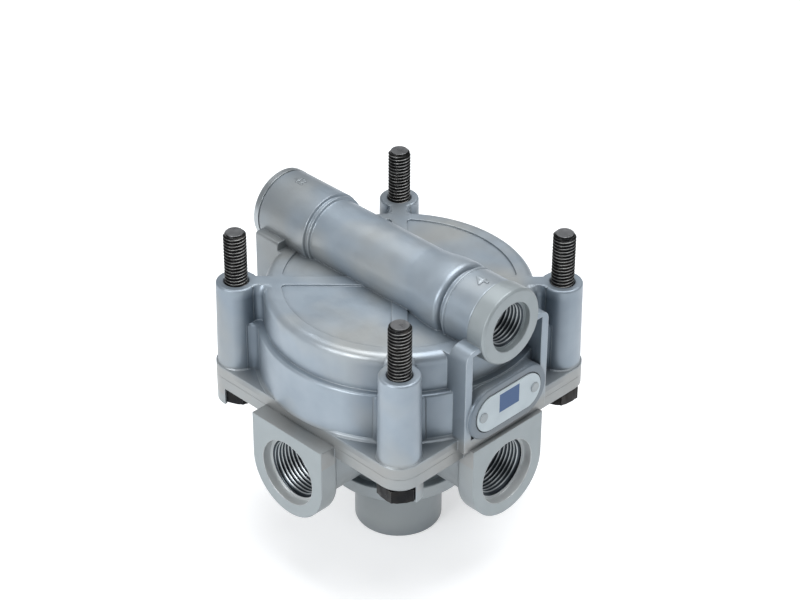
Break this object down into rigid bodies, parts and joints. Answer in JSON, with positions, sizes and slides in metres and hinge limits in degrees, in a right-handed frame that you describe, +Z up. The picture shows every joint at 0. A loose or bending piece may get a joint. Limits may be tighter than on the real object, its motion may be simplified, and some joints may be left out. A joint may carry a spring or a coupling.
{
  "type": "pneumatic relay valve",
  "caption": "Air relay valve with a stepped drum on square flanges, corner studs, threaded side ports, an exhaust stub and a cross tube with a control port at each end.",
  "frame": {"origin": "centre of the exhaust mouth, on the face that the valve stands on", "axes": "+Z up the valve axis towards the studs, +X along the cross tube towards its front port"},
  "size_m": [0.1105, 0.1064, 0.1176],
  "materials": {
    "cast_aluminium": "die-cast, blasted",
    "turned_aluminium": "turned",
    "piston_aluminium": "machined",
    "black_steel": "black oxide",
    "plate_aluminium": "satin, printed",
    "rivet_aluminium": "satin",
    "seal_rubber": "moulded",
    "guide_plastic": "moulded",
    "valve_brass": "turned",
    "spring_steel": "oiled"
  },
  "bodies": {
    "housing": {"upper_housing": "cast_aluminium", "lower_housing": "cast_aluminium", "mounting_bolts": "black_steel", "identification_plate": "plate_aluminium", "plate_rivets": "rivet_aluminium", "housing_o_ring": "seal_rubber", "rear_port_fitting": "turned_aluminium", "rear_fitting_o_ring": "seal_rubber", "valve_spring": "spring_steel", "valve_guide": "guide_plastic", "guide_outer_o_ring": "seal_rubber", "guide_inner_o_ring": "seal_rubber", "guide_circlip": "spring_steel"},
    "inlet_valve": {"inlet_valve_body": "valve_brass", "inlet_valve_rubber": "seal_rubber", "spring_seat": "spring_steel"},
    "piston": {"relay_piston": "piston_aluminium", "piston_o_ring": "seal_rubber"},
    "shuttle": {"shuttle_piston": "guide_plastic", "shuttle_seals": "seal_rubber"}
  },
  "joints": [
    {"name": "inlet_valve_slide", "type": "slide", "parent": "housing", "child": "inlet_valve", "axis": [0, 0, 1], "range_m": [-0.0025, 0], "stiffness_N_per_m": 6000, "springref_m": 0.006, "deforming": ["valve_spring"]},
    {"name": "piston_slide", "type": "slide", "parent": "inlet_valve", "child": "piston", "axis": [0, 0, 1], "range_m": [0, 0.002]},
    {"name": "shuttle_slide", "type": "slide", "parent": "housing", "child": "shuttle", "axis": [1, 0, 0], "range_m": [0, 0.006]}
  ]
}
